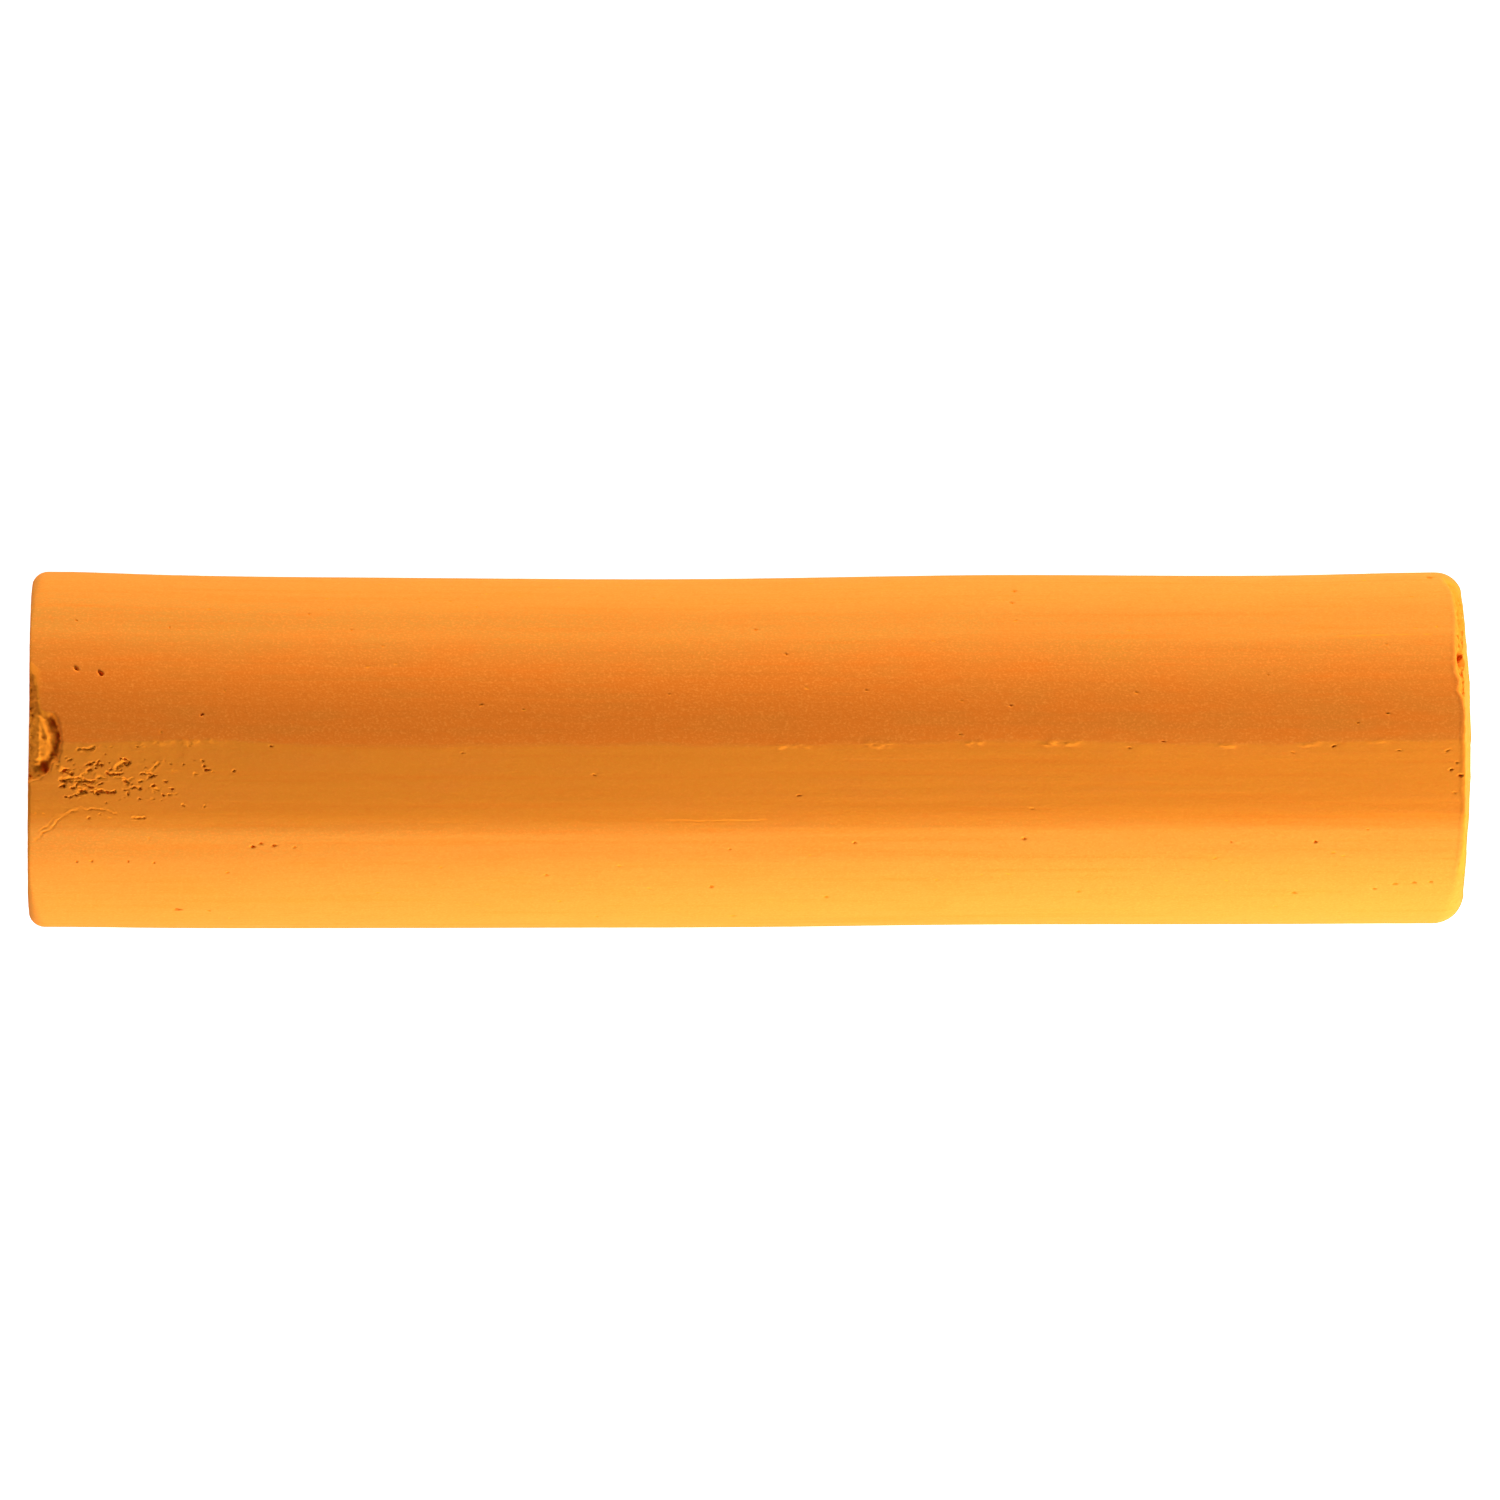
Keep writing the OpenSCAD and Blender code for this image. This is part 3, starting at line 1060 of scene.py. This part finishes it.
        # Each row is a pit's distance from the end, lean, length, width, turn and depth.
        chosen = (
            (2.05, -27.0, 0.36, 0.2, -40, 0.16), (3.1, -25.6, 0.36, 0.24, -40, 0.18),
            (2.0, -47.0, 0.2, 0.12, -40, 0.08), (7.45, -11.8, 0.2, 0.16, 30, 0.11),
            (12.0, -52.0, 0.16, 0.14, 0, 0.11), (13.8, -44.5, 0.16, 0.14, 0, 0.11),
            (18.0, -60.0, 0.14, 0.12, 0, 0.1), (31.0, -45.0, 0.2, 0.14, 0, 0.11),
            (32.3, -34.0, 0.2, 0.16, 20, 0.14), (41.9, -57.0, 0.2, 0.18, 0, 0.14),
            (42.0, -65.0, 0.22, 0.35, 0, 0.17), (57.8, -36.0, 0.18, 0.14, 0, 0.11),
            (59.7, -75.0, 0.4, 0.35, 0, 0.17), (58.9, -59.0, 0.18, 0.14, 0, 0.11),
            (2.1, 39.0, 0.16, 0.12, 0, 0.1), (4.3, 38.6, 0.14, 0.12, 0, 0.08),
            (5.4, 39.0, 0.16, 0.12, 0, 0.08), (6.4, 63.0, 0.5, 0.2, 0, 0.26),
            (7.7, 63.8, 0.24, 0.14, 0, 0.12), (9.6, 32.5, 0.3, 0.16, 0, 0.12),
            (9.95, 31.2, 0.2, 0.14, 0, 0.1), (10.5, 32.0, 0.24, 0.14, 20, 0.11),
            (11.4, 32.6, 0.18, 0.14, 0, 0.1), (22.1, 44.0, 0.2, 0.14, 0, 0.1),
            (29.1, 50.0, 0.2, 0.23, 0, 0.14), (30.0, 69.0, 0.24, 0.23, 0, 0.14),
            (34.0, 56.0, 0.24, 0.18, 0, 0.14), (35.2, 31.5, 0.2, 0.16, 0, 0.11),
            (42.4, 30.5, 0.22, 0.16, 0, 0.13), (44.7, 54.0, 0.26, 0.18, 0, 0.14),
            (51.2, 32.0, 0.16, 0.14, 0, 0.11), (53.9, 55.0, 0.28, 0.18, 0, 0.14),
            (54.8, 32.0, 0.24, 0.16, 0, 0.14), (57.3, 53.0, 0.26, 0.16, 0, 0.14),
            (58.2, 50.6, 0.3, 0.14, 10, 0.13), (59.0, 50.0, 0.26, 0.14, 10, 0.13),
            (59.7, 49.6, 0.22, 0.14, 10, 0.11), (60.4, 1.0, 0.4, 0.12, 25, 0.05),
            (60.8, 5.0, 0.22, 0.14, 20, 0.05), (60.55, 7.3, 0.26, 0.14, 35, 0.06),
            (60.95, 9.2, 0.34, 0.16, 5, 0.09), (60.7, 15.0, 0.2, 0.12, 0, 0.05),
        )
        rng = np.random.default_rng(SEED)
        least_lean, most_lean = -150.0, 150.0
        small = [
            Pit(
                from_end=float(rng.uniform(2.0, 60.0)),
                lean=float(np.clip(rng.normal(0.0, 60.0), least_lean, most_lean)),
                length=float(rng.uniform(0.12, 0.24)),
                width=float(rng.uniform(0.1, 0.15)),
                turn=float(rng.uniform(-30.0, 30.0)),
                depth=float(rng.uniform(0.04, 0.08)),
            )
            for _ in range(self.small_pits)
        ]
        return [*(Pit(*row) for row in chosen), *small]

    def burrs(self) -> list[Mark]:
        """The scraps of lip along the crease.

        Returns:
            The scraps, from the crumbled end to the sound one.
        """
        # Each row is where a scrap starts and ends, and how far it stands up.
        runs = (
            (4.0, 9.0, 0.015), (31.6, 33.4, 0.05), (35.5, 36.9, 0.06), (39.9, 40.7, 0.05),
            (43.0, 45.0, 0.045), (50.6, 51.4, 0.05), (54.0, 55.2, 0.045), (56.9, 57.9, 0.02),
        )
        return [Burr(start, end, rise) for start, end, rise in runs]

    def edge_holes(self) -> list[Mark]:
        """The holes in the worn rim of the sound end.

        Returns:
            The deep hole, then the small ones beside it.
        """
        # Each row is a pit's distance from the end, lean, length, width, turn and depth.
        holes = (
            (61.05, -25.0, 0.24, 0.3, 0, 0.2), (61.2, -22.0, 0.2, 0.3, 30, 0.16),
            (61.15, -18.5, 0.2, 0.4, -20, 0.24), (61.2, -12.5, 0.16, 0.36, 0, 0.2),
            (61.25, -8.0, 0.12, 0.3, 0, 0.14), (60.95, -36.5, 0.2, 0.3, 0, 0.14),
            (60.9, -40.0, 0.16, 0.3, 0, 0.1), (61.1, -44.0, 0.14, 0.3, 0, 0.12),
            (61.2, 34.0, 0.12, 0.3, 0, 0.1), (61.1, 47.0, 0.14, 0.3, 0, 0.1),
        )
        deep_hole = Pit(61.0, -31.5, 0.38, 0.75, 0, 0.9, ragged=0.3, floor=0.6)
        return [deep_hole, *(Pit(*hole) for hole in holes)]

    def sheet(self, marks: Sequence[Mark], hollow: CrumbledHollow) -> bmesh.types.BMesh:
        """The skin laid out flat, with its path along X and its lean along Y, finer round the marks.

        Args:
            marks: What shapes the skin.
            hollow: The hollow in the crumbled end.

        Returns:
            A flat grid.
        """
        layout = Layout(self.form)
        along, around = layout.along(), layout.around()
        bm = bmesh.new()
        bmesh.ops.create_grid(
            bm,
            x_segments=sum(s.steps for s in along),
            y_segments=sum(s.steps for s in around),
            size=0.5,
        )
        for vert in bm.verts:
            vert.co += Vector((0.5, 0.5, 0.0))
        places = np.array([v.co for v in bm.verts])
        places[:, 0] = layout.spread(places[:, 0], along, 0.0)
        places[:, 1] = layout.spread(places[:, 1], around, -FULL_TURN / 2)
        for vert, place in zip(bm.verts, places):
            vert.co = place
        lone = [mark for mark in marks if isinstance(mark, Pit) and self.is_lone(mark)]
        self.refine(bm, [*marks, hollow], 2)
        self.refine(bm, lone, 1)
        return bm

    @staticmethod
    def is_lone(pit: Pit) -> bool:
        """Tells whether a pit lies apart from the strip's tears and the worn rim.

        Args:
            pit: The pit.

        Returns:
            True where it does, so that its mesh is made finer still.
        """
        torn_end, rim_start = 9.2, 60.2
        flank_start, flank_end = 30.0, 90.0
        on_flank = flank_start < abs(pit.lean) < flank_end
        return torn_end < pit.from_end < rim_start or (on_flank and pit.from_end < torn_end)

    def refine(self, bm: bmesh.types.BMesh, patches: Sequence[Patch], cuts: int) -> None:
        """Cuts the faces of some patches into smaller ones.

        Args:
            bm: The flat sheet.
            patches: The patches to refine.
            cuts: How many cuts each edge gets.
        """
        places = np.array([v.co for v in bm.verts])
        skin = Skin(self.form, places[:, 0], places[:, 1])
        chosen = np.zeros(len(places), bool)
        for patch in patches:
            chosen |= patch.near(skin)
        bm.verts.ensure_lookup_table()
        faces = {face for i in np.flatnonzero(chosen) for face in bm.verts[int(i)].link_faces}
        edges = list({edge for face in faces for edge in face.edges})
        bmesh.ops.subdivide_edges(bm, edges=edges, cuts=cuts, use_grid_fill=True)
        bmesh.ops.triangulate(bm, faces=[face for face in bm.faces if len(face.verts) > 4])

    def build(self) -> bpy.types.Object:
        """Makes the stick.

        Returns:
            The finished object.
        """
        hollow = CrumbledHollow()
        marks: list[Mark] = [Grain(), WornRim(), *self.burrs()]
        marks += [*self.tears(), *self.air_pits(), *self.edge_holes()]
        bm = self.sheet(marks, hollow)
        flat = np.array([v.co for v in bm.verts])
        skin = Skin(self.form, flat[:, 0], flat[:, 1])
        for mark in marks:
            mark.shape(skin)
        places = skin.finished(self.axis_height)
        hollow.cut(places, skin, self.axis_height)
        for vert, place in zip(bm.verts, places):
            vert.co = Vector(place) * MM
        for name, values in ((BREAK_AND_SHADE, skin.break_and_shade), (SHADED_BAND, skin.shaded_band()), (PRESSED, skin.pressed())):
            layer = bm.verts.layers.float.new(name)
            for vert, value in zip(bm.verts, values):
                vert[layer] = value
        bmesh.ops.remove_doubles(bm, verts=bm.verts, dist=DOUBLES * MM)
        bmesh.ops.triangulate(bm, faces=bm.faces)
        bmesh.ops.recalc_face_normals(bm, faces=bm.faces)
        for face in bm.faces:
            face.smooth = True
        mesh = bpy.data.meshes.new("pastel_skin")
        bm.to_mesh(mesh)
        bm.free()
        stick = bpy.data.objects.new("pastel_skin", mesh)
        bpy.context.collection.objects.link(stick)
        return stick


# ---------------------------------------------------------------- materials


class Wire:
    """A node's output, on which the signs of arithmetic add Math nodes.

    Attributes:
        board: The nodes that it belongs to.
        socket: The output.
    """

    def __init__(self, board: "Board", socket: bpy.types.NodeSocket) -> None:
        """Wraps a socket of a board."""
        self.board = board
        self.socket = socket

    def _math(self, operation: str, first: Any, second: Any) -> "Wire":
        """Adds one Math node."""
        return self.board.add("ShaderNodeMath", {"operation": operation}, {0: first, 1: second})

    def __add__(self, other: Any) -> "Wire":
        """Sum."""
        return self._math("ADD", self, other)

    __radd__ = __add__

    def __sub__(self, other: Any) -> "Wire":
        """Difference."""
        return self._math("SUBTRACT", self, other)

    def __rsub__(self, other: Any) -> "Wire":
        """Difference, the other way round."""
        return self._math("SUBTRACT", other, self)

    def __mul__(self, other: Any) -> "Wire":
        """Product."""
        return self._math("MULTIPLY", self, other)

    __rmul__ = __mul__


class Board:
    """The nodes of one material or world.

    Attributes:
        nodes: The nodes.
        links: The links between them.
    """

    def __init__(self, owner: bpy.types.Material | bpy.types.World) -> None:
        """Clears the nodes.

        Args:
            owner: The material or world that they belong to.
        """
        owner.use_nodes = True
        self.nodes = owner.node_tree.nodes
        self.links = owner.node_tree.links
        self.nodes.clear()

    def add(
        self,
        kind: str,
        settings: Mapping[str, Any] | None = None,
        inputs: Mapping[int | str, Any] | None = None,
        output: int | str = 0,
    ) -> Wire:
        """Adds a node.

        Args:
            kind: The node's type.
            settings: Its properties, set first.
            inputs: A value or a wire for each of its sockets.
            output: Which output to return.

        Returns:
            That output.
        """
        node = self.nodes.new(kind)
        for name, value in (settings or {}).items():
            setattr(node, name, value)
        for key, value in (inputs or {}).items():
            if isinstance(value, Wire):
                self.links.new(value.socket, node.inputs[key])
            else:
                node.inputs[key].default_value = value
        return Wire(self, node.outputs[output] if len(node.outputs) else None)

    def blend(self, share: Any, first: Any, second: Any) -> Wire:
        """A colour between two others.

        Args:
            share: How much of the second there is, from 0 to 1.
            first: The first colour.
            second: The second colour.

        Returns:
            The colour between them.
        """
        return self.add("ShaderNodeMix", {"data_type": "RGBA"}, {"Factor": share, 6: first, 7: second}, 2)

    def ramp(self, value: Wire, start: float, end: float) -> Wire:
        """Maps a value so that it is 0 at start and 1 at end, and no more or less.

        Args:
            value: The value.
            start: Where the result is 0.
            end: Where the result is 1.

        Returns:
            The mapped value.
        """
        return self.add("ShaderNodeMapRange", {"clamp": True}, {0: value, 1: start, 2: end, 3: 0.0, 4: 1.0})


Colour = tuple[float, float, float, float]
WHITE: Colour = (1.0, 1.0, 1.0, 1.0)


@dataclass(frozen=True)
class PastelFinish:
    """Dry pressed pigment: matte, with a fine tooth, drag lines along the stick and loose powder.

    Attributes:
        body: The colour of the skin.
        strip: The colour of the pressed strip.
        deep: Painted shade: the redder, darker colour of the dimly lit band on the +Y side of the crease.
        powder: The colour of loose powder that lies in the tooth.
        shade: The colour between the grains.
        broken: The colour of a new break.
        hole_shade: Painted shade: the darker, redder colour given to deep holes and shaded hollows.
        roughness: Roughness of the skin.
        specular: Strength of its gloss, which a powder has little of.
        drag_lumps: Lumps of the drag lines to the metre, along each axis.
        blotch_lumps: Lumps of the uneven colour.
        tooth_lumps: Lumps of the tooth.
        grain_lumps: Lumps of the grain.
        crumb_lumps: Lumps of a new break.
    """

    body: Colour = (0.71, 0.248, 0.028, 1.0)
    strip: Colour = (0.81, 0.242, 0.016, 1.0)
    deep: Colour = (0.88, 0.207, 0.0145, 1.0)
    powder: Colour = (1.0, 0.32, 0.04, 1.0)
    shade: Colour = (0.81, 0.18, 0.011, 1.0)
    broken: Colour = (1.0, 0.295, 0.017, 1.0)
    hole_shade: Colour = (0.6, 0.135, 0.006, 1.0)
    roughness: float = 0.85
    specular: float = 0.08
    drag_lumps: tuple[float, float, float] = (70.0, 3200.0, 3200.0)
    blotch_lumps: tuple[float, float, float] = (350.0, 700.0, 700.0)
    tooth_lumps: tuple[float, float, float] = (9000.0, 12000.0, 12000.0)
    grain_lumps: tuple[float, float, float] = (5000.0, 9000.0, 9000.0)
    crumb_lumps: tuple[float, float, float] = (4000.0, 4000.0, 4000.0)

    def material(self) -> bpy.types.Material:
        """Makes the material.

        Returns:
            The material.
        """
        material = bpy.data.materials.new("pastel")
        board = Board(material)
        place = board.add("ShaderNodeTexCoord", output="Object")
        streaks = self._noise(board, place, self.drag_lumps, 3.0)
        blotches = self._noise(board, place, self.blotch_lumps, 3.0)
        tooth = self._noise(board, place, self.tooth_lumps, 3.0)
        break_and_shade, shaded_band, pressed = (
            board.add("ShaderNodeAttribute", {"attribute_name": name}, output="Fac")
            for name in (BREAK_AND_SHADE, SHADED_BAND, PRESSED)
        )
        shift = (streaks - 0.5) + (blotches - 0.5) * 1.1
        skin = board.blend(board.ramp(pressed - shift, 0.0, 1.0), self.body, self.strip)
        # Painted shade: the dim band on the +Y side of the crease takes the redder, darker deep colour.
        skin = board.blend(board.ramp(shaded_band + shift, 0.0, 1.0), skin, self.deep)
        grain = self._noise(board, place, self.grain_lumps, 2.0)
        shading = 0.4
        skin = board.blend(board.ramp(grain, 0.55, 0.25) * shading, skin, self.shade)
        skin = board.blend(board.ramp(streaks, 0.48, 0.25) * shading, skin, self.shade)
        dust = shaded_band * 0.25 - pressed * 0.25 + 0.45
        skin = board.blend(board.ramp(tooth, 0.5, 0.72) * dust, skin, self.powder)
        colour = board.blend(board.ramp(break_and_shade, 0.0, 0.5), skin, self.broken)
        # Painted shade: marks above 0.5 darken deep holes towards the hole_shade colour.
        colour = board.blend(board.ramp(break_and_shade, 0.5, 1.0), colour, self.hole_shade)
        crumbs = self._noise(board, place, self.crumb_lumps, 4.0)
        relief = tooth * 0.5 + grain * 0.3 + streaks * 0.6 + crumbs * break_and_shade * 1.5
        normal = board.add(
            "ShaderNodeBump", inputs={"Strength": 0.8, "Distance": 0.02 * MM, "Height": relief}
        )
        shader = board.add(
            "ShaderNodeBsdfPrincipled",
            inputs={
                "Base Color": colour,
                "Roughness": self.roughness + 0.1 * break_and_shade,
                "Specular IOR Level": self.specular,
                "Normal": normal,
            },
        )
        board.add("ShaderNodeOutputMaterial", inputs={"Surface": shader})
        return material

    @staticmethod
    def _noise(board: Board, place: Wire, scale: Sequence[float], detail: float) -> Wire:
        """Noise on the object's own coordinates.

        Args:
            board: The material's nodes.
            place: The coordinates, in metres.
            scale: Lumps to the metre along each axis.
            detail: How many finer layers there are.

        Returns:
            A value from 0 to 1.
        """
        stretched = board.add("ShaderNodeMapping", inputs={"Vector": place, "Scale": scale})
        return board.add("ShaderNodeTexNoise", inputs={"Vector": stretched, "Scale": 1.0, "Detail": detail})


@dataclass(frozen=True)
class FloorFinish:
    """Plain white floor that looks white to the camera and still takes the stick's shadow.

    Attributes:
        white: The floor's colour.
        glow: How much light it adds where the camera sees it.
    """

    white: Colour = (0.82, 0.82, 0.82, 1.0)
    glow: float = 0.8

    def material(self) -> bpy.types.Material:
        """Makes the material.

        Returns:
            The material.
        """
        material = bpy.data.materials.new("white_floor")
        board = Board(material)
        path = "ShaderNodeLightPath"
        seen = board.add(path, output="Is Camera Ray")
        seen = seen + board.add(path, output="Is Glossy Ray")
        seen = seen + board.add(path, output="Is Transmission Ray")
        lit = board.add("ShaderNodeBsdfDiffuse", inputs={"Color": self.white})
        shine = board.add("ShaderNodeEmission", inputs={"Color": WHITE, "Strength": self.glow})
        both = board.add("ShaderNodeAddShader", inputs={0: lit, 1: shine})
        surface = board.add("ShaderNodeMixShader", inputs={0: seen, 1: lit, 2: both})
        board.add("ShaderNodeOutputMaterial", inputs={"Surface": surface})
        return material


# ---------------------------------------------------------------- studio


class Softbox(Enum):
    """The studio's lamps: where each stands and what it aims at, in metres, its size and its power."""

    FAR_SIDE = ((0.06, 0.2, 0.062), (0.3, 0.06), 0.75)
    NEAR_SIDE = ((0.08, -0.18, 0.054), (0.28, 0.055), 0.9)
    LEFT_END = ((-0.3, 0.0, 0.06), (0.12, 0.08), 0.26)
    RIGHT_END = ((0.15, -0.05, 0.06), (0.08, 0.05), 0.11)


@dataclass
class Studio:
    """A plain pale floor, soft lamps and a camera that looks straight down on the stick.

    Attributes:
        look_at: Where the camera and the lamps point, in metres.
        frame_width: Width of what the camera sees at that place, in metres.
        lens: The camera's focal length in millimetres.
        sensor: Width of its sensor.
        floor_size: Width of the floor in metres.
        even_light: Strength of the light that comes from everywhere.
    """

    look_at: Vector
    frame_width: float = 63.92 * MM
    lens: float = 1600.0
    sensor: float = 36.0
    floor_size: float = 4.0
    even_light: float = 0.046

    def floor(self) -> bpy.types.Object:
        """Returns:
            The floor.
        """
        bm = bmesh.new()
        bmesh.ops.create_grid(bm, x_segments=1, y_segments=1, size=self.floor_size / 2)
        mesh = bpy.data.meshes.new("floor")
        bm.to_mesh(mesh)
        bm.free()
        floor = bpy.data.objects.new("floor", mesh)
        bpy.context.collection.objects.link(floor)
        floor.data.materials.append(FloorFinish().material())
        return floor

    def lamps(self) -> None:
        """Puts up the lamps, each turned to the stick."""
        for lamp in Softbox:
            place, size, power = lamp.value
            data = bpy.data.lights.new(lamp.name.lower(), "AREA")
            data.shape = "RECTANGLE"
            data.size, data.size_y = size
            data.energy = power
            box = bpy.data.objects.new(lamp.name.lower(), data)
            box.location = place
            box.rotation_mode = "QUATERNION"
            box.rotation_quaternion = (self.look_at - Vector(place)).to_track_quat("-Z", "Y")
            box.visible_camera = False
            bpy.context.collection.objects.link(box)

    def world(self) -> None:
        """Sets a faint even light, with white behind everything."""
        world = bpy.data.worlds.new("studio")
        bpy.context.scene.world = world
        board = Board(world)
        seen = board.add("ShaderNodeLightPath", output="Is Camera Ray")
        glow = board.add("ShaderNodeBackground", inputs={"Strength": self.even_light})
        white = board.add("ShaderNodeBackground", inputs={"Color": WHITE})
        either = board.add("ShaderNodeMixShader", inputs={0: seen, 1: glow, 2: white})
        board.add("ShaderNodeOutputWorld", inputs={"Surface": either})

    def camera(self) -> None:
        """Sets the camera straight above the stick, far off, with a long lens."""
        data = bpy.data.cameras.new("camera")
        data.lens, data.sensor_width = self.lens, self.sensor
        camera = bpy.data.objects.new("camera", data)
        distance = self.frame_width * self.lens / self.sensor
        camera.location = self.look_at + Vector((0.0, 0.0, distance))
        data.clip_start, data.clip_end = distance / 10, distance * 10
        bpy.context.collection.objects.link(camera)
        bpy.context.scene.camera = camera


def report(piece: bpy.types.Object) -> None:
    """Logs a finished piece."""
    LOG.info("%s: %d points, %d faces", piece.name, len(piece.data.vertices), len(piece.data.polygons))


def main() -> None:
    """Builds the stick and the studio."""
    logging.basicConfig(level=logging.INFO, format="%(name)s: %(message)s")
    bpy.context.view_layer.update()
    low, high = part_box(NODE)
    stick = PastelStick(high.x / MM, high.y / MM, high.z / MM)
    skin = stick.build()
    skin.data.materials.append(PastelFinish().material())
    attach(skin, "root")
    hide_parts(NODE)
    report(skin)
    studio = Studio(Vector((0.0, 0.0, stick.axis_height * MM)))
    report(studio.floor())
    studio.lamps()
    LOG.info("studio: %d lamps", len(Softbox))
    studio.world()
    studio.camera()
    LOG.info("studio: world and camera")
    bpy.context.scene.view_settings.view_transform = "Standard"


if __name__ == "__main__":
    main()
